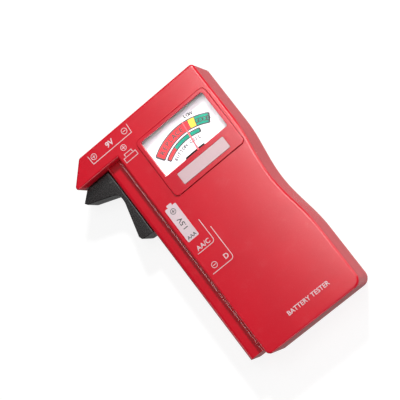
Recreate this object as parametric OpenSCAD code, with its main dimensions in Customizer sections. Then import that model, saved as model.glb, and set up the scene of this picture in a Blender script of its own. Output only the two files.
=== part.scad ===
/* [Case] */
// Width of the raised face block
body_w = 51.3; // [48:0.1:62]
// Length of the case, bottom end to top end
body_l = 119.4; // [116:0.1:144]
// Depth of the case, back to face
case_d = 26; // [25:0.5:32]
// Thickness of the case walls
wall = 2; // [1.6:0.1:2.4]
// Depth of the rear shell, up to the parting line
rear_d = 8; // [7.5:0.1:9]
// Rounding of the face's long edges
edge_r = 1.5; // [1:0.1:3]
// Rounding of the case corners in front view
corner_r = 3; // [2:0.5:5]
// Depth of the waist in the right-hand side
waist_d = 3.0; // [0:0.1:4]
// Half the length of the waist
waist_half = 30; // [20:1:34]
// Middle of the waist above the bottom end
waist_up = 59.5; // [50:0.5:64]
// Height of the joining lip on the rear shell
lip_h = 1.5; // [1:0.1:2]
// Thickness of the joining lip
lip_t = 0.9; // [0.7:0.1:1.2]

/* [Rail] */
// Width of the slide rail beside the face block
rail_w = 8.8; // [8:0.1:10.6]
// How far the rail lies below the face
rail_step = 6; // [4:0.1:7]
// Start of the rail above the bottom end
rail_start = 3.7; // [3:0.1:10]
// Height of the slot that the arm leaves through
slot_h = 6; // [5:0.1:6.5]
// Width of the groove between rail and face block
groove_w = 2.2; // [1.8:0.1:2.7]
// Depth of that groove
groove_d = 1.1; // [0.9:0.1:1.3]

/* [Hook] */
// Reach of the hook beyond the face block
hook_reach = 23.6; // [19.6:0.1:28.4]
// Length of the hook along the case
hook_l = 10.9; // [9:0.1:13.1]
// Size of the hook's outer chamfer
hook_chamfer = 9.1; // [6:0.1:9.4]

/* [Arm] */
// Thickness of the arm
arm_t = 15; // [12:0.1:16]
// Gap between hook and jaw at rest
jaw_gap = 0.5; // [0.4:0.1:8]
// Reach of the jaw beyond the rail
jaw_reach = 17.9; // [14:0.1:19]
// Height of the jaw at its tip
jaw_tip_h = 5; // [3:0.1:6]
// Height of the jaw at its root
jaw_root_h = 10.6; // [8.8:0.1:12.8]
// Length of the arm, jaw to foot
arm_l = 33.8; // [29:0.1:40.6]
// Reach of the arm's foot beyond the rail
foot_reach = 7; // [5:0.1:8]
// Reach of the arm's neck beyond the rail
neck_reach = 2.4; // [1.6:0.1:3]
// Travel of the arm, closed to fully open
arm_travel = 64; // [40:0.5:66]

/* [Meter] */
// Width of the meter window
window_w = 35; // [29:0.1:36]
// Height of the meter window
window_h = 18.8; // [16:0.1:20]
// Middle of the window right of the case's middle
window_x = 3.95; // [0:0.05:4.5]
// Top of the window below the top end
window_down = 12.7; // [12:0.1:16]
// Thickness of the window
window_t = 1.2; // [1:0.1:1.4]
// Seat of the window beyond its opening, each way
window_seat = 0.7; // [0.6:0.1:1.2]
// Margin of the bezel left and right of the window
bezel_side = 1.9; // [1.7:0.1:2.2]
// Margin of the bezel above the window
bezel_head = 1.6; // [1.4:0.1:2]
// Length of the bezel panel
bezel_l = 30.5; // [29:0.1:33]
// How far the bezel stands above the face
bezel_rise = 0.8; // [0.4:0.1:1.2]
// Depth of the bezel's seat in the face
bezel_seat = 1; // [0.8:0.1:1.2]
// Rounding of the bezel's corners
bezel_r = 2.2; // [1:0.1:3]
// Width of the name plate
plate_w = 25.7; // [20:0.1:31]
// Height of the name plate
plate_h = 5.7; // [4.5:0.1:6.8]
// Gap between window and name plate
plate_down = 2.3; // [2:0.1:3]
// Thickness of the name plate
plate_t = 0.5; // [0.3:0.1:0.7]
// Thickness of the dial
dial_t = 0.5; // [0.4:0.1:0.8]
// Gap between dial and window
dial_gap = 2; // [1.8:0.1:2.5]

/* [Movement] */
// Pivot of the needle below the window
pivot_down = 14.6; // [14:0.1:17]
// Pivot of the needle left of the window's middle
pivot_left = 1.3; // [0:0.1:2]
// Length of the needle from its pivot
needle_l = 29.5; // [26:0.1:32]
// Needle at rest, right of straight up
needle_rest = 6.5; // [-10:0.5:20]
// Radius of the core magnet
magnet_r = 5.5; // [4.5:0.1:6]
// Inner radius of the iron ring
ring_r = 9.5; // [9:0.1:10.5]
// Thickness of the iron ring
ring_t = 2; // [1.5:0.1:2.2]
// Height of the iron ring
ring_h = 8; // [7:0.1:9]
// Thickness of the coil's winding
coil_t = 1.6; // [1.2:0.1:1.8]
// Radius of the pivot pins
pin_r = 0.35; // [0.3:0.01:0.45]

/* [Contacts] */
// Thickness of the contact strip
strip_t = 0.5; // [0.3:0.1:0.6]
// Spacing of the two top contacts
snap_pitch = 12.7; // [12:0.1:13.5]
// Middle of the top contacts right of the face block's left side
snap_x = 2; // [1:0.1:3]
// Width of each top contact
snap_w = 8.6; // [6:0.1:9]
// Height of each top contact
snap_h = 8; // [6:0.1:9]
// Length of the hook's cell contact
cell_w = 10.5; // [8:0.1:11]
// Height of the hook's cell contact
cell_h = 7; // [5:0.1:8]

/* [Electronics] */
// Length of the circuit board across the case
board_w = 34; // [28:0.5:36]
// Length of the circuit board along the case
board_l = 26; // [20:0.5:28]
// Thickness of the circuit board
board_t = 1.6; // [1.2:0.1:2]
// Bottom of the circuit board above the bottom end
board_up = 18; // [16:0.5:20]
// Radius of a wire, with its insulation
wire_r = 0.6; // [0.4:0.05:0.7]

/* [Fixings] */
// Radius of the case screws
screw_r = 1.3; // [1.1:0.05:1.5]
// Radius of the case screws' heads
head_r = 2.5; // [2.2:0.1:2.8]
// Height of the case screws' heads
head_h = 1.8; // [1.4:0.1:2]
// Length of the case screws
screw_l = 12; // [9:0.5:13]

/* [Clearances] */
// Seats and covers
fit = 0.1; // [0.05:0.01:0.15]
// Running gap of the arm
run = 0.35; // [0.25:0.01:0.4]
// Running gap of the pivot pins
pivot_run = 0.03; // [0.02:0.01:0.05]
// Sliding gap of the wiper
wipe = 0.15; // [0.1:0.01:0.2]

/* [Hidden] */
$fn = 48;
e = 0.01;

left = -body_w / 2;
right = body_w / 2;
bottom = -body_l / 2;
top = body_l / 2;
waist_y = bottom + waist_up;

rail_x = left - rail_w;
rail_z = case_d - rail_step;
rail_y = bottom + rail_start;
hook_x = left - hook_reach;
hook_y = top - hook_l;

arm_x = rail_x - run;
arm_y = hook_y - jaw_gap;
arm_mid_z = rear_d + slot_h / 2;
arm_z = arm_mid_z - arm_t / 2;
root_y = arm_y - arm_l + 2;
root_l = arm_l - 4;
root_z = rear_d + run;
root_h = slot_h - 2 * run;
slot_y = root_y - arm_travel - run;
slot_l = hook_y - slot_y;
channel_x = rail_x + wall;
truck_x = channel_x + run;
truck_w = rail_w - wall - strip_t - 2 * run - 0.6;
truck_z = wall + run;
truck_h = root_z + root_h - truck_z;
spring_x = channel_x + (rail_w - wall) / 2;
spring_z = (truck_z + truck_h + rail_z - wall) / 2;
spring_r = 1.4;
spring_wire = 0.35;
spring_turns = 22;
peg_r = spring_r - spring_wire - 0.15;
peg_l = 2.5;
lug_l = 2;
spring_top = hook_y - 0.05;
spring_bottom = root_y + lug_l + 0.3;

window_top = top - window_down;
window_y = window_top - window_h / 2;
window_low = window_top - window_h;
window_z = case_d - bezel_seat;
bezel_w = window_w + 2 * bezel_side;
bezel_top = window_top + bezel_head;
bezel_y = bezel_top - bezel_l / 2;
plate_y = window_low - plate_down - plate_h / 2;
dial_z = window_z - window_t - dial_gap;
dial_w = window_w + 2 * window_seat;
dial_h = window_h + 2 * window_seat;

pivot_x = window_x - pivot_left;
pivot_y = window_low - pivot_down;
frame_t = 0.9;
bay_r = ring_r + ring_t + fit + frame_t + 1.6;
frame_z = rear_d - 1.6;
frame_top = window_z - window_t;
ring_z = frame_z + 4;
magnet_h = ring_h - 1;
magnet_z = ring_z + (ring_h - magnet_h) / 2;
coil_in = magnet_r + 0.6;
coil_out = coil_in + coil_t;
coil_z = ring_z - 1.2;
coil_h = ring_h + 2.4;
coil_b = 3;
hub_z = coil_z + coil_h;
bridge_z = hub_z + 2.2;
bridge_t = 1;
bridge_r = ring_r + ring_t / 2;
needle_w = 0.7;
needle_z = dial_z + 0.8;
needle_t = 0.3;

screw_at = [[left + 6.5, bottom + 6.5], [right - 6.5, bottom + 6.5],
            [right - 6.2, top - 6], [left + 17, top - 6]];
boss_r = 3;
head_z = 1.2;

board_x = -board_w / 2 - 2;
board_y = bottom + board_up;
board_z = rear_d + 4;
post_at = [[board_x + 3, board_y + 3], [board_x + board_w - 3, board_y + board_l - 3]];
post_r = 2.2;
post_screw_r = 0.9;
snap_z = rear_d + 2 + snap_h / 2;
snap_left = left + snap_x - snap_pitch / 2;
snap_right = left + snap_x + snap_pitch / 2;
cell_in = 1.6;
cell_x = hook_x + cell_in + cell_w / 2;
cell_z = rear_d + 0.6 + cell_h / 2;
leg_w = 3;
leg_l = 4;
cell_leg_l = 2;
cell_leg_x = cell_x + leg_w / 2 + 1;
label_w = 36;
label_l = 44;
label_t = 0.2;
label_sink = 0.1;
label_y = bottom + 10 + label_l / 2;
strip_z = rear_d + 0.7;
strip_h = 4;
strip_x = left - strip_t;
strip_low = bottom + rail_start + wall + 3.3;
strip_l = hook_y - 1 - strip_low;
lead_slot = leg_w + 2 * fit;
way_w = 4;
way_h = 3.4;
way_y = top - hook_l / 2;
way_z = rear_d + way_h / 2;

// Points of a round stretch about a centre, from one angle to another
function arc(c, r, a0, a1, n = 6) = [for (i = [0:n]) c + r * [cos(a0 + (a1 - a0) * i / n),
                                                               sin(a0 + (a1 - a0) * i / n)]];
// The waist: one smooth dip in the right-hand side
function waist(t) = [right - waist_d * (1 + cos(180 * t)) / 2, waist_y + t * waist_half];

module block_outline() {
    r = corner_r;
    polygon(concat(arc([left + r, bottom + r], r, 180, 270), arc([right - r, bottom + r], r, 270, 360),
                   [for (i = [-8:8]) waist(i / 8)], arc([right - r, top - r], r, 0, 90), [[left, top]]));
}

module hook_outline() {
    polygon([[left + wall, hook_y], [left + wall, top], [hook_x + hook_chamfer, top],
             [hook_x, top - hook_chamfer], [hook_x, hook_y]]);
}

module rail_outline() {
    translate([rail_x, rail_y]) square([rail_w + wall, hook_y + wall - rail_y]);
}

module case_outline() {
    block_outline();
    hook_outline();
    rail_outline();
}

// A slab with its two long edges rounded, running the whole length of the case
module long_slab(x0, x1, z0, z1, r) {
    rotate([90, 0, 0]) translate([0, 0, -top - e]) linear_extrude(body_l + 2 * e)
        polygon(concat([[x0, z0], [x1, z0]], arc([x1 - r, z1 - r], r, 0, 90),
                       arc([x0 + r, z1 - r], r, 90, 180)));
}

module rounded_plate(w, l, t, r) {
    linear_extrude(t) polygon(concat(arc([w / 2 - r, l / 2 - r], r, 0, 90),
        arc([-w / 2 + r, l / 2 - r], r, 90, 180), arc([-w / 2 + r, -l / 2 + r], r, 180, 270),
        arc([w / 2 - r, -l / 2 + r], r, 270, 360)));
}

// A wire or lead: straight runs between points, with round joints
module run_wire(points, r) {
    for (i = [0:len(points) - 2]) {
        d = points[i + 1] - points[i];
        l = norm(d);
        translate(points[i]) rotate([0, acos(d.z / l), atan2(d.y, d.x)]) cylinder(h = l, r = r, $fn = 16);
        if (i > 0) translate(points[i]) sphere(r + 0.05, $fn = 16);
    }
}

module at_points(points) {
    for (p = points) translate([p.x, p.y, 0]) children();
}

module front_outer() {
    intersection() {
        translate([0, 0, rear_d]) linear_extrude(case_d - rear_d) block_outline();
        long_slab(left, right, rear_d, case_d, edge_r);
    }
    translate([0, 0, rear_d]) linear_extrude(case_d - rear_d) hook_outline();
    difference() {
        translate([0, 0, rear_d]) linear_extrude(rail_z - rear_d) rail_outline();
        translate([left - groove_w, rail_y - e, rail_z - groove_d])
            cube([groove_w, hook_y - rail_y + e, groove_d + e]);
    }
}

module front_cavity() {
    translate([0, 0, rear_d - e]) {
        linear_extrude(case_d - wall - rear_d) offset(delta = -wall) block_outline();
        linear_extrude(case_d - wall - rear_d) intersection() {
            offset(delta = -wall) hook_outline();
            translate([hook_x, bottom]) square([hook_reach, body_l]);
        }
    }
    translate([channel_x, rail_y + wall, rear_d - e])
        cube([left - channel_x, hook_y - rail_y - wall, rail_z - wall - rear_d + e]);
}

module snap_seat(x) {
    depth = strip_t + 0.3;
    translate([x - snap_w / 2 - fit, top - depth, snap_z - snap_h / 2 - fit])
        cube([snap_w + 2 * fit, depth + e, snap_h + 2 * fit]);
    translate([x - lead_slot / 2, top - wall - e, snap_z - strip_t / 2 - fit])
        cube([lead_slot, wall, strip_t + 2 * fit]);
}

module front_shell() {
    color([0.86, 0.1, 0.2]) {
        difference() {
            union() {
                difference() {
                    front_outer();
                    front_cavity();
                }
                at_points(screw_at) translate([0, 0, rear_d]) cylinder(h = case_d - wall - rear_d + e,
                    r = boss_r);
                at_points(post_at) translate([0, 0, board_z + board_t])
                    cylinder(h = case_d - wall - board_z - board_t + e, r = post_r);
                translate([spring_x, hook_y + e, spring_z]) rotate([90, 0, 0]) cylinder(h = peg_l, r = peg_r);
            }
            // arm slot, open at the parting line
            translate([rail_x - e, slot_y, rear_d - e]) cube([wall + 2 * e, slot_l, slot_h + e]);
            // bezel seat and window opening
            translate([window_x, bezel_y, window_z])
                rounded_plate(bezel_w + 2 * fit, bezel_l + 2 * fit, bezel_seat + e, bezel_r);
            translate([window_x - dial_w / 2 - fit, window_y - dial_h / 2 - fit, case_d - wall - e])
                cube([dial_w + 2 * fit, dial_h + 2 * fit, wall]);
            at_points(screw_at) translate([0, 0, rear_d - e]) cylinder(h = head_z + head_h + screw_l -
                rear_d + 1, r = screw_r);
            at_points(post_at) translate([0, 0, board_z]) cylinder(h = 8, r = post_screw_r);
            snap_seat(snap_left);
            snap_seat(snap_right);
            // seat and leg slot of the hook's cell contact
            translate([cell_x - cell_w / 2 - fit, hook_y - e, cell_z - cell_h / 2 - fit])
                cube([cell_w + 2 * fit, strip_t + e, cell_h + 2 * fit]);
            translate([cell_leg_x - lead_slot / 2, hook_y, cell_z - strip_t / 2 - fit])
                cube([lead_slot, wall + e, strip_t + 2 * fit]);
            // ways for the wires through the block's left wall
            translate([left - e, way_y - way_w / 2, rear_d - e]) cube([wall + 2 * e, way_w, way_h]);
            translate([left - e, strip_low + 1, rear_d - e]) cube([wall + 2 * e, 3, way_h]);
        }
    }
}

// Where the lip makes way for the side of the meter frame
module meter_gap() {
    l = dial_h + 2 * frame_t + 1;
    translate([right - 2 * wall, window_y - l / 2]) square([2 * wall, l]);
}

// A foot on the wall's inside, and a lip standing on it inside the front shell
module joining_lip() {
    foot_h = 2;
    inner = -wall - fit - lip_t;
    translate([0, 0, rear_d - foot_h]) linear_extrude(foot_h) difference() {
        offset(delta = -wall + 0.2) block_outline();
        offset(delta = inner) block_outline();
        meter_gap();
    }
    translate([0, 0, rear_d - 0.5]) linear_extrude(lip_h + 0.5) difference() {
        offset(delta = -wall - fit) block_outline();
        offset(delta = inner) block_outline();
        meter_gap();
        at_points(screw_at) circle(boss_r + 0.3);
        translate([snap_right - snap_w / 2, top - 2 * wall]) square([snap_w, 2 * wall]);
        translate([left, way_y - way_w / 2 - 0.5]) square([2 * wall, way_w + 1]);
        translate([left, strip_low]) square([2 * wall, 5]);
    }
}

module rear_shell() {
    tube_r = head_r + 1.6;
    color([0.8, 0.08, 0.17]) difference() {
        union() {
            difference() {
                linear_extrude(rear_d) case_outline();
                translate([0, 0, wall]) linear_extrude(rear_d) {
                    offset(delta = -wall) block_outline();
                    intersection() {
                        offset(delta = -wall) hook_outline();
                        translate([hook_x, bottom]) square([hook_reach, body_l]);
                    }
                    translate([channel_x, rail_y + wall]) square([left - channel_x, hook_y - rail_y - wall]);
                }
            }
            at_points(screw_at) cylinder(h = rear_d, r = tube_r);
            joining_lip();
        }
        at_points(screw_at) {
            translate([0, 0, -e]) cylinder(h = rear_d + lip_h + 1, r = screw_r + 0.3);
            translate([0, 0, -e]) cylinder(h = head_z + head_h + e, r = head_r + 0.3);
        }
        translate([0, label_y, -e]) rounded_plate(label_w + 2 * fit, label_l + 2 * fit, label_t +
            label_sink + e, 2);
    }
}

module meter_bezel() {
    color([0.88, 0.14, 0.24]) difference() {
        translate([window_x, bezel_y, window_z])
            rounded_plate(bezel_w, bezel_l, bezel_seat + bezel_rise, bezel_r - fit);
        translate([window_x, window_y, window_z - e])
            rounded_plate(window_w, window_h, bezel_seat + bezel_rise + 2 * e, 0.8);
        translate([window_x, plate_y, window_z + bezel_seat + bezel_rise - plate_t])
            rounded_plate(plate_w + 2 * fit, plate_h + 2 * fit, plate_t + e, 0.5);
    }
}

module meter_window() {
    color([0.9, 0.95, 1, 0.4]) translate([window_x, window_y, window_z - window_t])
        rounded_plate(dial_w, dial_h, window_t, 1);
}

module name_plate() {
    color([0.95, 0.86, 0.88]) translate([window_x, plate_y, window_z + bezel_seat + bezel_rise - plate_t])
        rounded_plate(plate_w, plate_h, plate_t + 0.15, 0.5);
}

module dial_plate() {
    slit_w = 10.5;
    slit_h = 1.8;
    color([0.95, 0.95, 0.95]) difference() {
        translate([window_x, window_y, dial_z - dial_t]) rounded_plate(dial_w, dial_h, dial_t, 1);
        translate([pivot_x - slit_w / 2, window_y - dial_h / 2 - e, dial_z - dial_t - e])
            cube([slit_w, window_seat + slit_h, dial_t + 2 * e]);
    }
}

module frame_outline(inset) {
    translate([window_x, window_y])
        square([dial_w + 2 * (frame_t - inset), dial_h + 2 * (frame_t - inset)], center = true);
    translate([pivot_x, pivot_y]) circle(bay_r - inset);
    translate([pivot_x - bay_r + inset, pivot_y]) square([2 * (bay_r - inset), window_low - pivot_y]);
}

module meter_frame() {
    ledge_z = dial_z - dial_t;
    color([0.13, 0.13, 0.14]) difference() {
        union() {
            difference() {
                translate([0, 0, frame_z]) linear_extrude(frame_top - frame_z) frame_outline(0);
                translate([0, 0, frame_z + frame_t]) linear_extrude(case_d) frame_outline(frame_t);
            }
            // seats of the dial, in the four corners of the window bay
            for (x = [-1, 1], y = [-1, 1])
                translate([window_x + x * (dial_w / 2 - 1.5) - 1.6, window_y + y * (dial_h / 2 - 1.5) - 1.6,
                           frame_z]) cube([3.2, 3.2, ledge_z - frame_z]);
            // seat of the iron ring and of the bridge
            translate([pivot_x, pivot_y, frame_z]) difference() {
                cylinder(h = ring_z - frame_z, r = ring_r + ring_t);
                translate([0, 0, frame_t]) cylinder(h = ring_z, r = ring_r);
            }
            translate([pivot_x, pivot_y, frame_z]) cylinder(h = frame_t + 1, r = 2.2);
        }
        translate([pivot_x, pivot_y, frame_z - e]) cylinder(h = frame_t + 2, r = 1.2);
        translate([pivot_x - 40, bottom, frame_top - 1.2]) cube([80, window_low - window_seat - 1 - bottom,
            8]);
    }
}

module core_magnet() {
    color([0.35, 0.35, 0.37]) translate([pivot_x, pivot_y, magnet_z]) cylinder(h = magnet_h, r = magnet_r);
}

module core_spacers() {
    color([0.75, 0.6, 0.3]) translate([pivot_x, pivot_y, ring_z + ring_h / 2 - 1]) difference() {
        for (a = [90, 270]) rotate(a) translate([0, -1, 0]) cube([ring_r + 0.2, 2, 2]);
        translate([0, 0, -e]) cylinder(h = 3, r = magnet_r);
        difference() {
            translate([0, 0, -e]) cylinder(h = 3, r = ring_r + 1);
            translate([0, 0, -2 * e]) cylinder(h = 4, r = ring_r);
        }
    }
}

module iron_ring() {
    color([0.5, 0.5, 0.52]) translate([pivot_x, pivot_y, ring_z]) difference() {
        cylinder(h = ring_h, r = ring_r + ring_t);
        translate([0, 0, -e]) cylinder(h = ring_h + 2 * e, r = ring_r);
        for (x = [-1, 1]) translate([x * bridge_r, 0, ring_h / 2]) cylinder(h = ring_h, r = 0.6);
    }
}

module front_bridge() {
    foot_r = 0.95;
    color([0.8, 0.65, 0.35]) translate([pivot_x, pivot_y, 0]) difference() {
        union() {
            translate([-bridge_r - 1, -1.5, bridge_z]) cube([2 * bridge_r + 2, 3, bridge_t]);
            for (x = [-1, 1]) translate([x * bridge_r, 0, ring_z + ring_h])
                cylinder(h = bridge_z - ring_z - ring_h + e, r = foot_r);
        }
        translate([0, 0, bridge_z - e]) cylinder(h = 2, r = 0.9);
        for (x = [-1, 1]) translate([x * bridge_r, 0, ring_z]) cylinder(h = case_d, r = 0.6);
    }
}

module bridge_screws() {
    color([0.75, 0.75, 0.77]) for (x = [-1, 1]) translate([pivot_x + x * bridge_r, pivot_y, 0]) {
        translate([0, 0, ring_z + ring_h / 2 + 0.5]) cylinder(h = bridge_z + bridge_t - ring_z -
            ring_h / 2 - 0.5 + e, r = 0.6);
        translate([0, 0, bridge_z + bridge_t]) cylinder(h = 0.7, r = 1.1);
    }
}

module jewel_screw(r, h) {
    difference() {
        cylinder(h = h, r = r);
        translate([0, 0, h - 0.8]) cylinder(h = 1, r = pin_r + pivot_run);
    }
}

module front_jewel_screw() {
    l = bridge_z + bridge_t - hub_z - 0.6;
    color([0.85, 0.7, 0.3]) translate([pivot_x, pivot_y, bridge_z + bridge_t + 0.4]) mirror([0, 0, 1])
        jewel_screw(0.9, l);
}

module rear_jewel_screw() {
    l = coil_z - frame_z - 0.9;
    color([0.85, 0.7, 0.3]) translate([pivot_x, pivot_y, frame_z + 0.2]) jewel_screw(1.2, l);
}

module turned() {
    translate([pivot_x, pivot_y, 0]) rotate(-needle_rest) children();
}

module moving_coil() {
    color([0.72, 0.4, 0.2]) turned() difference() {
        translate([-coil_out, -coil_b / 2, coil_z]) cube([2 * coil_out, coil_b, coil_h]);
        translate([-coil_in, -coil_b / 2 - e, coil_z + 0.7]) cube([2 * coil_in, coil_b + 2 * e, coil_h -
            1.4]);
    }
}

module coil_pivots() {
    front_l = bridge_z + bridge_t + 0.4 - (bridge_z + bridge_t - hub_z - 0.6) + 0.5 - hub_z;
    rear_seat = frame_z + 0.2 + coil_z - frame_z - 0.9;
    color([0.8, 0.8, 0.82]) turned() {
        translate([0, 0, hub_z]) cylinder(h = front_l, r = pin_r);
        translate([0, 0, rear_seat - 0.5]) cylinder(h = coil_z - rear_seat + 0.5, r = pin_r);
    }
}

// A flat spiral spring, from radius r0 out to r1
module hairspring(r0, r1, turns) {
    n = turns * 12;
    t = 0.12;
    function at(i, d) = (r0 + (r1 - r0) * i / n + d) * [cos(30 * i), sin(30 * i)];
    linear_extrude(0.3) polygon(concat([for (i = [0:n]) at(i, t)], [for (i = [n:-1:0]) at(i, -t)]));
}

module front_hairspring() {
    color([0.85, 0.65, 0.3]) translate([pivot_x, pivot_y, bridge_z - 0.5]) hairspring(1.3, 3.6, 4);
}

module rear_hairspring() {
    color([0.85, 0.65, 0.3]) translate([pivot_x, pivot_y, coil_z - 0.6]) hairspring(1.5, 3.6, 4);
}

module needle() {
    rise_y = window_low - window_seat - 1.4 - pivot_y;
    tail = 6.5;
    color([0.85, 0.2, 0.25]) turned() {
        difference() {
            union() {
                translate([0, 0, hub_z]) cylinder(h = 0.6, r = 1.4);
                translate([-needle_w / 2, -tail, hub_z]) cube([needle_w, tail + rise_y, needle_t]);
            }
            translate([0, 0, hub_z - e]) cylinder(h = 1, r = pin_r);
        }
        translate([-needle_w / 2, rise_y - needle_t, hub_z]) cube([needle_w, needle_t, needle_z - hub_z +
            needle_t]);
        translate([0, rise_y - e, needle_z]) linear_extrude(needle_t)
            polygon([[-needle_w / 2, 0], [needle_w / 2, 0], [0.2, needle_l - rise_y], [-0.2, needle_l -
                rise_y]]);
    }
}

module needle_balance() {
    color([0.7, 0.7, 0.72]) turned() translate([0, -5, hub_z + needle_t]) cylinder(h = 0.9, r = 1.1);
}

module arm_outline() {
    tip_x = arm_x - jaw_reach + run;
    low = arm_y - arm_l;
    foot_x = arm_x - foot_reach + run;
    neck_x = arm_x - neck_reach + run;
    polygon(concat([[arm_x, arm_y], [tip_x + jaw_tip_h, arm_y]], arc([tip_x + 1, arm_y - jaw_tip_h + 1], 1,
        150, 240, 3),
                   [[neck_x - 0.6, arm_y - jaw_root_h], [neck_x, arm_y - jaw_root_h - 3.8]],
                   arc([foot_x + 1, low + 1.6], 1, 170, 260, 3), [[arm_x, low]]));
}

module slide_arm() {
    color([0.14, 0.13, 0.14]) difference() {
        union() {
            translate([0, 0, arm_z]) linear_extrude(arm_t) arm_outline();
            translate([arm_x - e, root_y, root_z]) cube([truck_x - arm_x + 2 * e, root_l, root_h]);
            translate([truck_x, root_y, truck_z]) cube([truck_w, root_l, truck_h]);
            translate([truck_x, root_y, truck_z + truck_h - e])
                cube([truck_w, lug_l, spring_z + spring_r - truck_z - truck_h]);
            translate([spring_x, root_y + lug_l - e, spring_z]) rotate([-90, 0, 0]) cylinder(h = peg_l,
                r = peg_r);
        }
        // contact seat in the jaw's top, and its leg slot
        translate([cell_x - cell_w / 2 - fit, arm_y - strip_t, arm_mid_z - cell_h / 2 - fit])
            cube([cell_w + 2 * fit, 2, cell_h + 2 * fit]);
        // groove for the lead, in the back of the arm
        translate([lead_x() - fit, lead_y() - fit, arm_z - e])
            cube([2 + 2 * fit, arm_y - lead_y(), lead_depth() + fit]);
        translate([lead_x() - fit, lead_y() - fit, arm_z - e])
            cube([2 + 2 * fit, 2 + 2 * fit, root_z + 1.2 - arm_z + e]);
        translate([lead_x() - fit, lead_y() - fit, root_z + 0.8 - fit])
            cube([truck_x + truck_w - lead_x() + 1, 2 + 2 * fit, strip_t + 2 * fit]);
    }
}

function lead_x() = arm_x - 1.7;
function lead_y() = arm_y - jaw_root_h - 5;
function lead_depth() = 0.8;

module arm_contact() {
    color([0.78, 0.77, 0.74]) {
        translate([cell_x - cell_w / 2, arm_y - strip_t, arm_mid_z - cell_h / 2]) cube([cell_w, strip_t,
            cell_h]);
    }
}

module arm_lead() {
    h = lead_depth() - 0.3;
    color([0.8, 0.62, 0.3]) {
        translate([lead_x(), lead_y(), arm_z + 0.3]) cube([2, arm_y - strip_t - lead_y(), h]);
        translate([lead_x(), lead_y(), arm_z + 0.3]) cube([strip_t, 2, root_z + 0.8 + strip_t - arm_z - 0.3]);
        translate([lead_x(), lead_y(), root_z + 0.8]) cube([truck_x + truck_w - lead_x(), 2, strip_t]);
    }
}

module arm_wiper() {
    x = truck_x + truck_w;
    gap = strip_x - wipe - x;
    color([0.82, 0.66, 0.35]) translate([x, lead_y() - 6, strip_z + 0.6]) {
        cube([0.3, 12, 2.6]);
        translate([0.2, 1, 0]) cube([gap - 0.2, 1, 2.6]);
        translate([0.2, 10, 0]) cube([gap - 0.2, 1, 2.6]);
    }
}

// An open coil of wire along Y, as one swept tube
module return_spring() {
    per = 10;
    sides = 5;
    n = spring_turns * per;
    l = spring_top - spring_bottom - 2 * spring_wire;
    function ring(i) = [for (k = [0:sides - 1])
        let (a = 360 * i / per, q = spring_r + spring_wire * cos(360 * k / sides))
        [q * cos(a), l * i / n + spring_wire * sin(360 * k / sides), q * sin(a)]];
    color([0.7, 0.7, 0.72]) translate([spring_x, spring_bottom + spring_wire, spring_z])
        polyhedron(points = [for (i = [0:n]) each ring(i)],
            faces = concat([[for (k = [0:sides - 1]) k]], [[for (k = [0:sides - 1]) n * sides + sides - 1 -
                k]],
                [for (i = [0:n - 1], k = [0:sides - 1])
                    [i * sides + k, (i + 1) * sides + k, (i + 1) * sides + (k + 1) % sides]],
                [for (i = [0:n - 1], k = [0:sides - 1])
                    [i * sides + k, (i + 1) * sides + (k + 1) % sides, i * sides + (k + 1) % sides]]));
}

module bus_strip() {
    color([0.82, 0.66, 0.35]) {
        translate([strip_x, strip_low, strip_z]) cube([strip_t, strip_l, strip_h]);
        translate([strip_x, strip_low + 1.3, strip_z]) cube([strip_t + wall + 3, 2.4, strip_t]);
    }
}

module cell_contact() {
    color([0.78, 0.77, 0.74]) {
        translate([cell_x - cell_w / 2, hook_y, cell_z - cell_h / 2]) cube([cell_w, strip_t, cell_h]);
        translate([cell_x, hook_y + e, cell_z]) rotate([90, 0, 0]) cylinder(h = 0.2 + e, r = 2.4);
        translate([cell_leg_x - leg_w / 2, hook_y, cell_z - strip_t / 2]) cube([leg_w, wall + cell_leg_l,
            strip_t]);
    }
}

module snap_contact(x) {
    translate([x - snap_w / 2, top - strip_t - 0.3, snap_z - snap_h / 2]) cube([snap_w, strip_t, snap_h]);
    translate([x - leg_w / 2, top - wall - leg_l + 1.5, snap_z - strip_t / 2])
        cube([leg_w, wall + leg_l - 1.5 - strip_t, strip_t]);
}

module snap_contact_positive() {
    color([0.8, 0.79, 0.76]) snap_contact(snap_left);
}

module snap_contact_negative() {
    color([0.8, 0.79, 0.76]) snap_contact(snap_right);
}

module circuit_board() {
    color([0.75, 0.6, 0.35]) difference() {
        translate([board_x, board_y, board_z]) cube([board_w, board_l, board_t]);
        at_points(post_at) translate([0, 0, board_z - e]) cylinder(h = board_t + 2 * e, r = post_screw_r +
            fit);
    }
}

// A resistor lying across the back of the board, with its two bent leads
module resistor(x, y, l, r) {
    z = board_z - r - 0.3;
    translate([x, y, z]) rotate([0, 90, 0]) cylinder(h = l, r = r, center = true, $fn = 24);
    for (s = [-1, 1]) run_wire([[x + s * (l / 2 - 0.5), y, z], [x + s * (l / 2 + 1.6), y, z],
                                [x + s * (l / 2 + 1.6), y, board_z]], 0.3);
}

resistor_x = board_x + board_w / 2;
module cell_load_resistor() {
    color([0.85, 0.82, 0.75]) resistor(resistor_x, board_y + 6, 11, 2.1);
}

module block_load_resistor() {
    color([0.75, 0.65, 0.5]) resistor(resistor_x, board_y + 12.5, 9, 1.5);
}

module meter_resistor() {
    color([0.4, 0.6, 0.75]) resistor(resistor_x, board_y + 18, 6.5, 1.2);
}

module board_screws() {
    color([0.75, 0.75, 0.77]) at_points(post_at) {
        translate([0, 0, board_z - e]) cylinder(h = board_t + 5, r = post_screw_r);
        translate([0, 0, board_z - 1.4]) cylinder(h = 1.4, r = 1.7);
    }
}

wire_z = rear_d - 2.2;
pad_y = board_y + board_l - 2;

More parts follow.
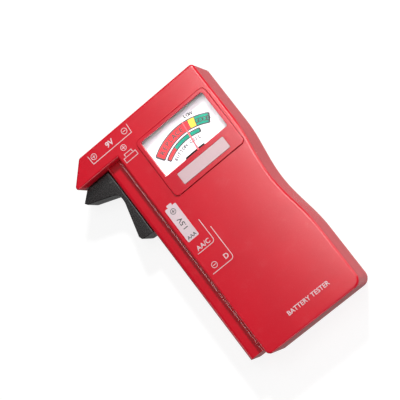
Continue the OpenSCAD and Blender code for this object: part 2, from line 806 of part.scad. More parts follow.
module cell_wire() {
    x = cell_leg_x;
    y = way_y - 1;
    color([0.75, 0.1, 0.12]) run_wire([[x, hook_y + wall + 1.2, cell_z - strip_t / 2 - wire_r],
        [x + 3, y, way_z], [left + 4, y, way_z], [left + 4, y, wire_z], [left + 4, pad_y - 2, wire_z],
        [board_x + 3.5, pad_y - 2, wire_z], [board_x + 3.5, pad_y - 2, board_z]], wire_r);
}

module bus_wire() {
    y = strip_low + 2.5;
    color([0.1, 0.1, 0.1]) run_wire([[left + wall + 2.4, y, strip_z - wire_r], [left + wall + 2.4, y, wire_z],
        [left + wall + 2.4, board_y + 8, wire_z], [board_x + 1.5, board_y + 8, wire_z],
        [board_x + 1.5, board_y + 8, board_z]], wire_r);
}

module snap_wire_positive() {
    x = snap_left + 1;
    y = way_y + 1;
    color([0.75, 0.1, 0.12]) run_wire([[x, top - wall - leg_l + 2, snap_z - strip_t / 2 - wire_r],
        [x, y, way_z], [left + 5.6, y, way_z], [left + 5.6, y, wire_z], [left + 5.6, pad_y, wire_z],
        [board_x + 6, pad_y, wire_z], [board_x + 6, pad_y, board_z]], wire_r);
}

module snap_wire_negative() {
    x = snap_right + 1;
    y = top - wall - leg_l + 2;
    low_y = pad_y + 2;
    color([0.1, 0.1, 0.1]) run_wire([[x, y, snap_z - strip_t / 2 - wire_r], [x, y, wire_z], [x, low_y,
        wire_z],
        [board_x + 9, low_y, wire_z], [board_x + 9, pad_y - 1, wire_z], [board_x + 9, pad_y - 1, board_z]],
            wire_r);
}

module meter_wires() {
    color([0.15, 0.3, 0.6]) for (s = [0, 1])
        run_wire([[pivot_x + 4 + 2 * s, pivot_y - bay_r + 3.4, frame_z - wire_r],
            [pivot_x + 4 + 2 * s, pad_y - 2, frame_z - wire_r], [pivot_x + 4 + 2 * s, pad_y - 2, board_z]],
                wire_r);
}

module case_screws() {
    color([0.75, 0.75, 0.77]) at_points(screw_at) difference() {
        union() {
            translate([0, 0, head_z]) cylinder(h = head_h, r = head_r);
            translate([0, 0, head_z + head_h - e]) cylinder(h = screw_l, r = screw_r);
        }
        for (a = [0, 90]) rotate(a) translate([-head_r * 0.6, -0.35, head_z - e]) cube([head_r * 1.2, 0.7,
            1]);
    }
}

module rear_label() {
    color([0.82, 0.82, 0.8]) translate([0, label_y, label_sink]) rounded_plate(label_w, label_l, label_t, 2);
}

front_shell();
rear_shell();
meter_bezel();
meter_window();
name_plate();
dial_plate();
meter_frame();
core_magnet();
core_spacers();
iron_ring();
front_bridge();
bridge_screws();
front_jewel_screw();
rear_jewel_screw();
moving_coil();
coil_pivots();
front_hairspring();
rear_hairspring();
needle();
needle_balance();
slide_arm();
arm_contact();
arm_lead();
arm_wiper();
return_spring();
bus_strip();
cell_contact();
snap_contact_positive();
snap_contact_negative();
circuit_board();
cell_load_resistor();
block_load_resistor();
meter_resistor();
board_screws();
cell_wire();
bus_wire();
snap_wire_positive();
snap_wire_negative();
meter_wires();
case_screws();
rear_label();
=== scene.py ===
"""A hand-held battery tester: red case, needle meter, fixed hook and sliding contact arm."""
import math

import bmesh
import bpy
from mathutils import Matrix, Vector


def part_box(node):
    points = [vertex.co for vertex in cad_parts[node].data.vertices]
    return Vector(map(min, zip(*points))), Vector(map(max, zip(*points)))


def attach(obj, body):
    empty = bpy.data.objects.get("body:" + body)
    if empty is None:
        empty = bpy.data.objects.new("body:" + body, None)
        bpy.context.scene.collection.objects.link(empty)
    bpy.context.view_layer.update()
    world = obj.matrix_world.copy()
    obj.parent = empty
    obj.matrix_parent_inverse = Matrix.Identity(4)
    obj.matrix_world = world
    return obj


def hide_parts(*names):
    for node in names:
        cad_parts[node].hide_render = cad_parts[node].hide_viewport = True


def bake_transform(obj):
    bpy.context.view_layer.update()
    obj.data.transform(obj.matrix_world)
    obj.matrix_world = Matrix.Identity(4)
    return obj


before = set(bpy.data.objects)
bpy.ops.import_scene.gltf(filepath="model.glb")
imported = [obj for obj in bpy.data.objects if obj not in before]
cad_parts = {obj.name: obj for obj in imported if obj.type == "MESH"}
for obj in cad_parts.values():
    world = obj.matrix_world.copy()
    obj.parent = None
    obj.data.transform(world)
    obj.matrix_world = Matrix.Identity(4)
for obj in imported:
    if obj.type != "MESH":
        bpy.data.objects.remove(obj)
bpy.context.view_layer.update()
scene = bpy.context.scene
MM = 0.001

# ---------------------------------------------------------------- sizes, in millimetres


def node_box(node):
    """Lowest and highest corner of a CAD node, in millimetres."""
    return [Vector(corner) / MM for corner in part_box(node)]


case_low, case_high = node_box("front_shell")
RIGHT, TOP, FACE = case_high
LEFT, BOTTOM = -RIGHT, case_low.y
PARTING = case_low.z
WALL = 2.0
HOOK_L = 10.9
HOOK_Y = TOP - HOOK_L
HOOK_CHAMFER = 9.1
HOOK_X = case_low.x
WAIST_D, WAIST_Y, WAIST_HALF = 3.0, BOTTOM + 59.5, 30.0
RAIL_W, RAIL_STEP, RAIL_START = 8.8, 6.0, 3.7
RAIL_X = LEFT - RAIL_W
RAIL_Y = BOTTOM + RAIL_START
RAIL_Z = FACE - RAIL_STEP
SLOT_H = 6.0
GROOVE_W, GROOVE_D = 2.2, 1.1
CHANNEL_X = RAIL_X + WALL
SCREWS = [(LEFT + 6.5, BOTTOM + 6.5), (RIGHT - 6.5, BOTTOM + 6.5),
          (RIGHT - 6.2, TOP - 6), (LEFT + 17, TOP - 6)]
CROWN_R = 1.0
# corners of the face outline, each with the radius that rounds it
CORNER_RADII = [(LEFT, BOTTOM, 2.6), (RIGHT, BOTTOM, 4.2), (RIGHT, TOP, 1.7),
                (HOOK_X + HOOK_CHAMFER, TOP, 1.6), (HOOK_X, TOP - HOOK_CHAMFER, 1.5), (HOOK_X, HOOK_Y, 1.1)]
# how far a cutter reaches past a face, a hair's breadth, and the gap round a fitted part
OVER, EPS, PLAY = 1, 0.01, 0.1

arm_low, arm_high = node_box("slide_arm")
ARM_X, ARM_Y = RAIL_X - 0.35, HOOK_Y - 0.5
ARM_Z1 = arm_high.z
ARM_Z0 = 2 * (PARTING + SLOT_H / 2) - ARM_Z1
ARM_L = 33.8
ARM_END = ARM_Y - ARM_L
# how far the slot runs on below the closed arm's carriage
SLOT_TRAVEL = 64.35
JAW_TIP_H, JAW_ROOT_H = 5.0, 10.6
window_low, window_high = node_box("meter_window")
bezel_low, bezel_high = node_box("meter_bezel")
plate_low, plate_high = node_box("name_plate")
DIAL_TOP = node_box("dial_plate")[1].z
pins_low, pins_high = node_box("coil_pivots")
PIVOT = Vector(((pins_low.x + pins_high.x) / 2, (pins_low.y + pins_high.y) / 2, 0))

# ---------------------------------------------------------------- shader groups


def add_node(tree, kind, x=0, y=0, **settings):
    """A shader node with its settings."""
    made = tree.nodes.new(kind)
    made.location = (x, y)
    for key, value in settings.items():
        setattr(made, key, value)
    return made


def new_group(name, inputs, outputs):
    """An empty shader group with named sockets, and its two end nodes."""
    group = bpy.data.node_groups.new(name, "ShaderNodeTree")
    for label, kind, value in inputs:
        socket = group.interface.new_socket(label, in_out="INPUT", socket_type=kind)
        if value is not None:
            socket.default_value = value
    for label, kind in outputs:
        group.interface.new_socket(label, in_out="OUTPUT", socket_type=kind)
    return group, add_node(group, "NodeGroupInput", -900), add_node(group, "NodeGroupOutput", 700)


def maths(tree, operation, a, b=None, clamp=False):
    """A maths node fed by sockets or plain numbers."""
    made = add_node(tree, "ShaderNodeMath", operation=operation, use_clamp=clamp)
    for slot, value in zip(made.inputs, (a, b)):
        if value is None:
            continue
        if isinstance(value, (int, float)):
            slot.default_value = value
        else:
            tree.links.new(value, slot)
    return made.outputs[0]


def noise(tree, vector, scale, detail=2.0, rough=0.5):
    """A noise field; its scale may be a socket."""
    made = add_node(tree, "ShaderNodeTexNoise")
    tree.links.new(vector, made.inputs["Vector"])
    if isinstance(scale, (int, float)):
        made.inputs["Scale"].default_value = scale
    else:
        tree.links.new(scale, made.inputs["Scale"])
    made.inputs["Detail"].default_value = detail
    made.inputs["Roughness"].default_value = rough
    return made.outputs["Fac"]


def spread(tree, value, low, high):
    """Maps part of a field's range onto nought to one."""
    made = add_node(tree, "ShaderNodeMapRange")
    tree.links.new(value, made.inputs["Value"])
    made.inputs["From Min"].default_value = low
    made.inputs["From Max"].default_value = high
    return made.outputs["Result"]


def mix_colour(tree, fac, a, b):
    """A colour mix fed by sockets or plain colours."""
    made = add_node(tree, "ShaderNodeMix", data_type="RGBA")
    for slot, value in ((made.inputs["Factor"], fac), (made.inputs[6], a), (made.inputs[7], b)):
        if isinstance(value, (int, float, tuple)):
            slot.default_value = value
        else:
            tree.links.new(value, slot)
    return made.outputs[2]


FINISH_OUTPUTS = [("Colour", "NodeSocketColor"), ("Roughness", "NodeSocketFloat"),
                  ("Height", "NodeSocketFloat")]


def vary(tree, base, field, amount, clamp=False):
    """A value that a noise field moves up and down."""
    swing = maths(tree, "MULTIPLY", maths(tree, "SUBTRACT", field, 0.5), amount)
    return maths(tree, "ADD", base, swing, clamp=clamp)


def make_moulded_finish():
    """Moulded plastic: cloudy colour, fine spark grain and faint rubbed patches."""
    group, start, end = new_group(
        "moulded_finish",
        [("Vector", "NodeSocketVector", None), ("Colour", "NodeSocketColor", (0.5, 0.5, 0.5, 1)),
         ("Deep Colour", "NodeSocketColor", (0.3, 0.3, 0.3, 1)),
         ("Rubbed Colour", "NodeSocketColor", (0.7, 0.7, 0.7, 1)),
         ("Grain Scale", "NodeSocketFloat", 2600.0), ("Roughness", "NodeSocketFloat", 0.4),
         ("Rubbing", "NodeSocketFloat", 0.2)], FINISH_OUTPUTS)
    into = start.outputs
    cloud = spread(group, noise(group, into["Vector"], 38.0, 3.0), 0.35, 0.65)
    grain = noise(group, into["Vector"], into["Grain Scale"], 1.0)
    pits = add_node(group, "ShaderNodeTexVoronoi")
    group.links.new(into["Vector"], pits.inputs["Vector"])
    group.links.new(maths(group, "MULTIPLY", into["Grain Scale"], 0.62), pits.inputs["Scale"])
    rubbed = spread(group, noise(group, into["Vector"], 150.0, 6.0, 0.7), 0.56, 0.72)
    rubbed = maths(group, "MULTIPLY", rubbed, into["Rubbing"], clamp=True)
    base = mix_colour(group, cloud, into["Deep Colour"], into["Colour"])
    speck = maths(group, "MULTIPLY", spread(group, grain, 0.58, 0.8), 0.16)
    base = mix_colour(group, speck, base, into["Rubbed Colour"])
    base = mix_colour(group, rubbed, base, into["Rubbed Colour"])
    group.links.new(base, end.inputs["Colour"])
    rough = vary(group, into["Roughness"], grain, 0.18)
    rough = maths(group, "ADD", rough, maths(group, "MULTIPLY", rubbed, 0.3), clamp=True)
    group.links.new(rough, end.inputs["Roughness"])
    height = maths(group, "ADD", grain, maths(group, "MULTIPLY", pits.outputs["Distance"], 0.6))
    group.links.new(height, end.inputs["Height"])
    return group


def make_worn_metal():
    """Metal: fine drawn lines, cloudy tone and dull spots."""
    group, start, end = new_group(
        "worn_metal",
        [("Vector", "NodeSocketVector", None), ("Colour", "NodeSocketColor", (0.6, 0.6, 0.6, 1)),
         ("Dull Colour", "NodeSocketColor", (0.3, 0.3, 0.3, 1)), ("Roughness", "NodeSocketFloat", 0.3),
         ("Line Scale", "NodeSocketFloat", 900.0), ("Wear", "NodeSocketFloat", 0.4)], FINISH_OUTPUTS)
    into = start.outputs
    stretch = add_node(group, "ShaderNodeMapping")
    stretch.inputs["Scale"].default_value = (1.0, 0.06, 1.0)
    group.links.new(into["Vector"], stretch.inputs["Vector"])
    lines = noise(group, stretch.outputs["Vector"], into["Line Scale"], 2.0)
    cloud = spread(group, noise(group, into["Vector"], 260.0, 4.0), 0.38, 0.66)
    spots = spread(group, noise(group, into["Vector"], 700.0, 5.0, 0.65), 0.55, 0.75)
    dull = maths(group, "ADD", spots, maths(group, "MULTIPLY", cloud, 0.5))
    dull = maths(group, "MULTIPLY", dull, into["Wear"], clamp=True)
    group.links.new(mix_colour(group, dull, into["Colour"], into["Dull Colour"]), end.inputs["Colour"])
    rough = maths(group, "ADD", into["Roughness"], maths(group, "MULTIPLY", dull, 0.3))
    group.links.new(vary(group, rough, lines, 0.25, clamp=True), end.inputs["Roughness"])
    group.links.new(lines, end.inputs["Height"])
    return group


def make_card_stock():
    """Card, paper and ink: fibres, faint blotches and a few specks."""
    group, start, end = new_group(
        "card_stock",
        [("Vector", "NodeSocketVector", None), ("Colour", "NodeSocketColor", (0.8, 0.8, 0.8, 1)),
         ("Stain Colour", "NodeSocketColor", (0.6, 0.6, 0.6, 1)), ("Fibre Scale", "NodeSocketFloat", 3000.0),
         ("Roughness", "NodeSocketFloat", 0.6), ("Stain", "NodeSocketFloat", 0.3)], FINISH_OUTPUTS)
    into = start.outputs
    fibres = noise(group, into["Vector"], into["Fibre Scale"], 3.0, 0.6)
    blotch = spread(group, noise(group, into["Vector"], 90.0, 3.0), 0.4, 0.7)
    flecks = maths(group, "MULTIPLY", spread(group, fibres, 0.5, 0.8), 0.4)
    stain = maths(group, "ADD", maths(group, "MULTIPLY", blotch, 0.6), flecks)
    stain = maths(group, "MULTIPLY", stain, into["Stain"], clamp=True)
    group.links.new(mix_colour(group, stain, into["Colour"], into["Stain Colour"]), end.inputs["Colour"])
    group.links.new(vary(group, into["Roughness"], fibres, 0.2, clamp=True), end.inputs["Roughness"])
    group.links.new(fibres, end.inputs["Height"])
    return group


MOULDED = make_moulded_finish()
METAL = make_worn_metal()
CARD = make_card_stock()


def rgba(colour, factor=1.0):
    """A colour with its alpha, lightened or darkened."""
    return tuple(min(1.0, part * factor) for part in colour) + (1.0,)


def finish_material(name, group, values, bump, distance, uniform):
    """A material whose finish comes from a shader group."""
    made = bpy.data.materials.new(name)
    made.use_nodes = True
    tree = made.node_tree
    shader = tree.nodes["Principled BSDF"]
    place = add_node(tree, "ShaderNodeTexCoord", -900)
    finish = add_node(tree, "ShaderNodeGroup", -500)
    finish.node_tree = group
    tree.links.new(place.outputs["Object"], finish.inputs["Vector"])
    for key, value in values.items():
        finish.inputs[key].default_value = value
    tree.links.new(finish.outputs["Colour"], shader.inputs["Base Color"])
    tree.links.new(finish.outputs["Roughness"], shader.inputs["Roughness"])
    relief = add_node(tree, "ShaderNodeBump", -250, -300)
    relief.inputs["Strength"].default_value = bump
    relief.inputs["Distance"].default_value = distance
    tree.links.new(finish.outputs["Height"], relief.inputs["Height"])
    tree.links.new(relief.outputs["Normal"], shader.inputs["Normal"])
    for key, value in uniform.items():
        shader.inputs[key].default_value = value
    return made


def plastic(name, colour, deep=0.86, rubbed=1.25, rough=0.4, grain=2600.0, rubbing=0.15, bump=0.25,
            **uniform):
    """A moulded plastic."""
    lifted = tuple(part + (1 - part) * (rubbed - 1) for part in colour)
    values = {"Colour": rgba(colour), "Deep Colour": rgba(colour, deep), "Rubbed Colour": rgba(lifted),
              "Grain Scale": grain, "Roughness": rough, "Rubbing": rubbing}
    return finish_material(name, MOULDED, values, bump, 0.00004, uniform)


def metal(name, colour, dull=0.5, rough=0.3, lines=900.0, wear=0.4, bump=0.2, **uniform):
    """A metal, plated or plain."""
    values = {"Colour": rgba(colour), "Dull Colour": rgba(colour, dull), "Roughness": rough,
              "Line Scale": lines, "Wear": wear}
    return finish_material(name, METAL, values, bump, 0.00003, {"Metallic": 1.0, **uniform})


def card(name, colour, stained=0.85, rough=0.6, fibres=3000.0, stain=0.3, bump=0.15, **uniform):
    """Card, paper, ink or lacquer."""
    values = {"Colour": rgba(colour), "Stain Colour": rgba(colour, stained), "Fibre Scale": fibres,
              "Roughness": rough, "Stain": stain}
    return finish_material(name, CARD, values, bump, 0.00002, uniform)


MATT = {"Specular IOR Level": 0.08}
GLOSS_RED = {"deep": 0.93, "rubbed": 1.06, "rough": 0.2, "rubbing": 0.12}
FINISHES = {
    "red_case": plastic("red_case", (0.775, 0.004, 0.022), grain=2300.0, bump=0.16, **GLOSS_RED),
    "red_bezel": plastic("red_bezel", (0.74, 0.005, 0.024), grain=2800.0, bump=0.14, **GLOSS_RED),
    "pale_plate": plastic("pale_plate", (0.74, 0.50, 0.53), deep=0.95, rubbed=1.6, rough=0.4, rubbing=0.3,
                          bump=0.1),
    "dial_white": card("dial_white", (0.66, 0.62, 0.65), stained=0.94, rough=0.7, stain=0.5, **MATT),
    "black_moulding": plastic("black_moulding", (0.020, 0.019, 0.020), rubbed=1.06, rough=0.5, rubbing=0.4),
    "magnet": metal("magnet", (0.20, 0.20, 0.22), rough=0.45, wear=0.5),
    "brass": metal("brass", (0.80, 0.58, 0.24), rough=0.28, dull=0.55),
    "soft_iron": metal("soft_iron", (0.42, 0.42, 0.44), rough=0.4, wear=0.5),
    "steel": metal("steel", (0.66, 0.66, 0.68), rough=0.25, wear=0.35),
    "copper": metal("copper", (0.72, 0.30, 0.12), rough=0.35, lines=4200.0, bump=0.6, dull=0.6),
    "needle_red": plastic("needle_red", (0.80, 0.05, 0.07), rubbed=1.2, rough=0.45, rubbing=0.2),
    "black_arm": plastic("black_arm", (0.009, 0.006, 0.006), deep=0.8, rubbed=1.04, rough=0.27, grain=2000.0,
                         rubbing=0.4, bump=0.3),
    "nickel": metal("nickel", (0.78, 0.76, 0.71), rough=0.18, wear=0.3),
    "board": card("board", (0.50, 0.33, 0.14), stained=0.7, rough=0.55, stain=0.6, fibres=1200.0),
    "resistor_white": card("resistor_white", (0.78, 0.74, 0.66), rough=0.75, fibres=1500.0, bump=0.4),
    "resistor_tan": card("resistor_tan", (0.62, 0.47, 0.28), rough=0.4, fibres=900.0),
    "resistor_blue": card("resistor_blue", (0.16, 0.36, 0.60), rough=0.35, fibres=900.0),
    "wire_red": plastic("wire_red", (0.60, 0.02, 0.02), rough=0.35),
    "wire_black": plastic("wire_black", (0.025, 0.025, 0.025), rubbed=1.08, rough=0.38),
    "wire_blue": plastic("wire_blue", (0.03, 0.09, 0.42), rough=0.35),
    "label_paper": card("label_paper", (0.72, 0.71, 0.69), rough=0.42, fibres=700.0, stain=0.5,
                        **{"Coat Weight": 0.2}),
}
INKS = {
    "white_ink": card("white_ink", (0.84, 0.66, 0.70), stained=0.72, rough=0.5, fibres=2200.0, stain=0.75),
    "black_ink": card("black_ink", (0.018, 0.016, 0.018), stained=1.5, rough=0.5, stain=0.5),
    "red_ink": card("red_ink", (0.50, 0.030, 0.035), stained=1.12, rough=0.55, stain=0.5, **MATT),
    "yellow_ink": card("yellow_ink", (0.90, 0.50, 0.055), stained=0.85, rough=0.55, stain=0.5, **MATT),
    "green_ink": card("green_ink", (0.003, 0.20, 0.13), stained=1.15, rough=0.55, stain=0.5, **MATT),
}


def make_window_material():
    """Clear polished plastic that lets light through to the dial."""
    made = bpy.data.materials.new("clear_window")
    made.use_nodes = True
    tree = made.node_tree
    shader = tree.nodes["Principled BSDF"]
    place = add_node(tree, "ShaderNodeTexCoord", -900)
    smears = spread(tree, noise(tree, place.outputs["Object"], 120.0, 4.0, 0.6), 0.45, 0.75)
    tree.links.new(mix_colour(tree, smears, (1, 1, 1, 1), (0.95, 0.965, 0.97, 1)), shader.inputs["Base Color"])
    tree.links.new(maths(tree, "MULTIPLY", smears, 0.06), shader.inputs["Roughness"])
    shader.inputs["Transmission Weight"].default_value = 1.0
    shader.inputs["IOR"].default_value = 1.49
    shader.inputs["Specular IOR Level"].default_value = 0.15
    clear = add_node(tree, "ShaderNodeBsdfTransparent", 0, -300)
    ray = add_node(tree, "ShaderNodeLightPath", 0, 300)
    both = add_node(tree, "ShaderNodeMixShader", 300)
    tree.links.new(ray.outputs["Is Shadow Ray"], both.inputs["Fac"])
    tree.links.new(shader.outputs[0], both.inputs[1])
    tree.links.new(clear.outputs[0], both.inputs[2])
    tree.links.new(both.outputs[0], tree.nodes["Material Output"].inputs["Surface"])
    return made


FINISHES["clear_window"] = make_window_material()

# ---------------------------------------------------------------- shaping


def fill_outline(points, z=0.0):
    """A flat face with the given outline."""
    bm = bmesh.new()
    bm.faces.new([bm.verts.new((x, y, z)) for x, y in points])
    return bm


def raise_faces(bm, height):
    """Extrudes every face, which closes the solid."""
    out = bmesh.ops.extrude_face_region(bm, geom=bm.faces[:])
    lifted = [part for part in out["geom"] if isinstance(part, bmesh.types.BMVert)]
    bmesh.ops.translate(bm, vec=(0, 0, height), verts=lifted)
    bmesh.ops.recalc_face_normals(bm, faces=bm.faces[:])
    return bm


def prism(points, z0, z1):
    """A solid with the given outline."""
    return raise_faces(fill_outline(points, z0), z1 - z0)


def block(low, high):
    """A box between two corners."""
    low, high = Vector(low), Vector(high)
    bm = bmesh.new()
    bmesh.ops.create_cube(bm, size=1.0)
    bmesh.ops.scale(bm, vec=high - low, verts=bm.verts)
    bmesh.ops.translate(bm, vec=(low + high) / 2, verts=bm.verts)
    return bm


def rod(centre, radius, z0, z1, sides=40, tip=None):
    """A round bar along Z."""
    bm = bmesh.new()
    bmesh.ops.create_cone(bm, cap_ends=True, segments=sides, radius1=radius,
                          radius2=radius if tip is None else tip, depth=z1 - z0)
    bmesh.ops.translate(bm, vec=(centre[0], centre[1], (z0 + z1) / 2), verts=bm.verts)
    return bm


def edges_where(bm, test):
    """The edges whose two ends both pass a test."""
    return [edge for edge in bm.edges if all(test(vert.co) for vert in edge.verts)]


def upright(x, y):
    """A test for the upright edge at a corner."""
    return lambda co: abs(co.x - x) < EPS and abs(co.y - y) < EPS


def soften(bm, edges, width, steps=3):
    """Rounds a set of edges."""
    bmesh.ops.bevel(bm, geom=edges, offset=width, offset_type="OFFSET", segments=steps, profile=0.5,
                    affect="EDGES", clamp_overlap=True, material=-1)
    return bm


def grown(low, high, around, top):
    """Two corners moved out sideways, with the upper one at a given height."""
    return (low.x - around, low.y - around, low.z), (high.x + around, high.y + around, top)


def slab(low, high, corner, steps=5, lip=0.0):
    """A plate with rounded corners, and a softened upper edge if wanted."""
    bm = block(low, high)
    for x in (low[0], high[0]):
        for y in (low[1], high[1]):
            soften(bm, edges_where(bm, upright(x, y)), corner, steps)
    if lip:
        soften(bm, edges_where(bm, lambda co: co.z > high[2] - 0.001), lip)
    return bm


def joined(parts):
    """Several shapes in one, side by side."""
    whole = bmesh.new()
    for part in parts:
        mesh = bpy.data.meshes.new("part")
        part.to_mesh(mesh)
        part.free()
        whole.from_mesh(mesh)
        bpy.data.meshes.remove(mesh)
    return whole


def moved(bm, offset=(0, 0, 0), turn=0.0, about=(0, 0, 0), axis="Z"):
    """Turns a shape about a point, then shifts it."""
    bmesh.ops.rotate(bm, cent=about, matrix=Matrix.Rotation(math.radians(turn), 3, axis), verts=bm.verts)
    bmesh.ops.translate(bm, vec=offset, verts=bm.verts)
    return bm


def as_object(name, bm):
    """An object in metres from a shape in millimetres."""
    bmesh.ops.scale(bm, vec=(MM, MM, MM), verts=bm.verts)
    mesh = bpy.data.meshes.new(name)
    bm.to_mesh(mesh)
    bm.free()
    obj = bpy.data.objects.new(name, mesh)
    scene.collection.objects.link(obj)
    return obj


def settle(obj):
    """Makes an object's modifiers part of its mesh."""
    bpy.context.view_layer.update()
    graph = bpy.context.evaluated_depsgraph_get()
    mesh = bpy.data.meshes.new_from_object(obj.evaluated_get(graph), depsgraph=graph)
    mesh.name = obj.name
    obj.modifiers.clear()
    obj.data = mesh
    return obj


def carve(obj, tools, how="DIFFERENCE"):
    """Cuts shapes out of an object, or adds them to it."""
    blades = [as_object("blade", tool) for tool in tools]
    for blade in blades:
        cut = obj.modifiers.new("cut", "BOOLEAN")
        cut.operation, cut.object, cut.solver = how, blade, "EXACT"
    settle(obj)
    for blade in blades:
        bpy.data.objects.remove(blade, do_unlink=True)
    return obj


def dress(obj, body, finish, stands_for=(), edge=0.0, steps=2, sharp=38, slot=None):
    """Gives a piece its edges, finish and body."""
    obj.data.materials.clear()
    obj.data.materials.append(finish)
    if edge:
        soft = obj.modifiers.new("edge", "BEVEL")
        soft.width, soft.segments, soft.limit_method = edge * MM, steps, "ANGLE"
        soft.angle_limit = math.radians(sharp)
        soft.use_clamp_overlap = True
        soft.harden_normals = False
        settle(obj)
    obj.data.polygons.foreach_set("use_smooth", [True] * len(obj.data.polygons))
    obj.data.set_sharp_from_angle(angle=math.radians(sharp))
    level = obj.modifiers.new("level", "WEIGHTED_NORMAL")
    level.keep_sharp, level.weight = True, 80
    settle(obj)
    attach(obj, body)
    if stands_for:
        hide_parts(*stands_for)
    return obj


def piece(name, bm, body, finish, stands_for=(), **settings):
    """A finished piece from a shape."""
    return dress(as_object(name, bm), body, finish, stands_for, **settings)


# ---------------------------------------------------------------- case


def waist_points(inset=0.0, steps=28):
    """The dip in the right-hand side, from the bottom up."""
    points = []
    for step in range(steps + 1):
        t = -1 + 2 * step / steps
        points.append((RIGHT - inset - WAIST_D * (1 + math.cos(math.pi * t)) / 2, WAIST_Y + t * WAIST_HALF))
    return points


def face_outline():
    """Face block and hook in one outline."""
    return ([(LEFT, BOTTOM), (RIGHT, BOTTOM)] + waist_points()
            + [(RIGHT, TOP), (HOOK_X + HOOK_CHAMFER, TOP), (HOOK_X, TOP - HOOK_CHAMFER),
               (HOOK_X, HOOK_Y), (LEFT, HOOK_Y)])


def rounded_outline(arc_steps=8):
    """The face outline with its corners rounded."""
    points, rounded = [Vector(point) for point in face_outline()], []
    for index, corner in enumerate(points):
        radius = next((r for x, y, r in CORNER_RADII if (corner - Vector((x, y))).length < 0.001), 0)
        if not radius:
            rounded.append(corner)
            continue
        back = (points[index - 1] - corner).normalized()
        ahead = (points[(index + 1) % len(points)] - corner).normalized()
        half = back.angle(ahead) / 2
        centre = corner + (back + ahead).normalized() * radius / math.sin(half)
        start = corner + back * radius / math.tan(half) - centre
        stop = corner + ahead * radius / math.tan(half) - centre
        rounded += [centre + start.lerp(stop, step / arc_steps).normalized() * radius
                    for step in range(arc_steps + 1)]
    return rounded


def inset_outline(points, inset):
    """An outline moved inwards by one distance all round."""
    moved_in = []
    for index, point in enumerate(points):
        back = (point - points[index - 1]).normalized()
        ahead = (points[(index + 1) % len(points)] - point).normalized()
        side = Vector((-back.y, back.x)) + Vector((-ahead.y, ahead.x))
        moved_in.append(point + side * inset / (1 + back.dot(ahead)))
    return moved_in


def domed(points, flat, crown, radius, steps=6):
    """An outline raised from a flat end to a crown whose edge is rounded."""
    way = 1 if crown > flat else -1
    levels = [(0.0, flat)]
    for step in range(steps + 1):
        angle = math.pi / 2 * step / steps
        levels.append((radius * (1 - math.cos(angle)), crown - way * radius * (1 - math.sin(angle))))
    bm = bmesh.new()
    rings = [[bm.verts.new((x, y, z)) for x, y in inset_outline(points, inset)] for inset, z in levels]
    for low_ring, high_ring in zip(rings, rings[1:]):
        for index in range(len(low_ring)):
            bm.faces.new((low_ring[index - 1], low_ring[index], high_ring[index], high_ring[index - 1]))
    bm.faces.new(rings[0])
    bm.faces.new(rings[-1])
    bmesh.ops.recalc_face_normals(bm, faces=bm.faces[:])
    return bm


def inner_block(z0, z1):
    """The hollow of the face block."""
    points = [(LEFT + WALL, BOTTOM + WALL), (RIGHT - WALL, BOTTOM + WALL)] + waist_points(WALL)
    return prism(points + [(RIGHT - WALL, TOP - WALL), (LEFT + WALL, TOP - WALL)], z0, z1)


def inner_hook(z0, z1):
    """The hollow of the hook."""
    slope = HOOK_X + HOOK_CHAMFER + WALL * (math.sqrt(2) - 1)
    return prism([(LEFT - EPS, HOOK_Y + WALL), (LEFT - EPS, TOP - WALL), (slope, TOP - WALL),
                  (slope + 2 * WALL - HOOK_L, HOOK_Y + WALL)], z0, z1)


def soften_rail(rail, at_level, side, side_steps, end):
    """Rounds the long outer edge and the lower end of a rail, at its face."""
    soften(rail, edges_where(rail, lambda co: co.x < RAIL_X + EPS and at_level(co)), side, side_steps)
    soften(rail, edges_where(rail, lambda co: co.y < RAIL_Y + EPS and at_level(co)), end, 4)


def make_front_case():
    """Front shell: rounded face, hook, grooved rail, openings and bosses."""
    body = domed(rounded_outline(), PARTING, FACE, CROWN_R)
    rail = block((RAIL_X, RAIL_Y, PARTING), (LEFT - GROOVE_W, HOOK_Y + OVER, RAIL_Z))
    web = block((LEFT - GROOVE_W - OVER, RAIL_Y + EPS, PARTING),
                (LEFT + OVER, HOOK_Y + OVER, RAIL_Z - GROOVE_D))
    soften_rail(rail, lambda co: co.z > RAIL_Z - EPS, 2.0, 6, 0.8)
    shell = carve(as_object("front_case", body), [rail, web], "UNION")
    snaps = [node_box("snap_contact_positive"), node_box("snap_contact_negative")]
    clip_low, clip_high = node_box("cell_contact")
    tools = [
        inner_block(PARTING - OVER, FACE - WALL),
        inner_hook(PARTING - OVER, FACE - WALL),
        block((CHANNEL_X, RAIL_Y + WALL, PARTING - OVER), (LEFT, HOOK_Y, RAIL_Z - WALL)),
        block((RAIL_X - OVER, ARM_END + 2 - SLOT_TRAVEL, PARTING - OVER),
              (CHANNEL_X + EPS, HOOK_Y, PARTING + SLOT_H)),
        slab(*grown(bezel_low, bezel_high, 0.22, FACE + OVER), 2.3),
        slab((window_low.x - PLAY, window_low.y - PLAY, FACE - WALL - OVER),
             (window_high.x + PLAY, window_high.y + PLAY, FACE + OVER), 1.0),
        block((clip_low.x - PLAY, HOOK_Y - OVER, PARTING + 0.5),
              (clip_high.x + PLAY, HOOK_Y + 0.5, PARTING + 7.7)),
    ]
    for low, high in snaps:
        tools.append(block((low.x - PLAY, TOP - 0.8, low.z - PLAY),
                           (high.x + PLAY, TOP + OVER, high.z + PLAY)))
        middle, level = (low.x + high.x) / 2, (low.z + high.z) / 2
        tools.append(block((middle - 1.6, TOP - 3, level - 0.35), (middle + 1.6, TOP - 0.5, level + 0.35)))
    carve(shell, tools)
    carve(shell, [rod(at, 3.0, PARTING, FACE - WALL + 0.2) for at in SCREWS], "UNION")
    carve(shell, [rod(at, 1.3, PARTING - OVER, PARTING + 8) for at in SCREWS])
    return dress(shell, "case", FINISHES["red_case"], ["front_shell"], edge=0.16, slot="red_case")


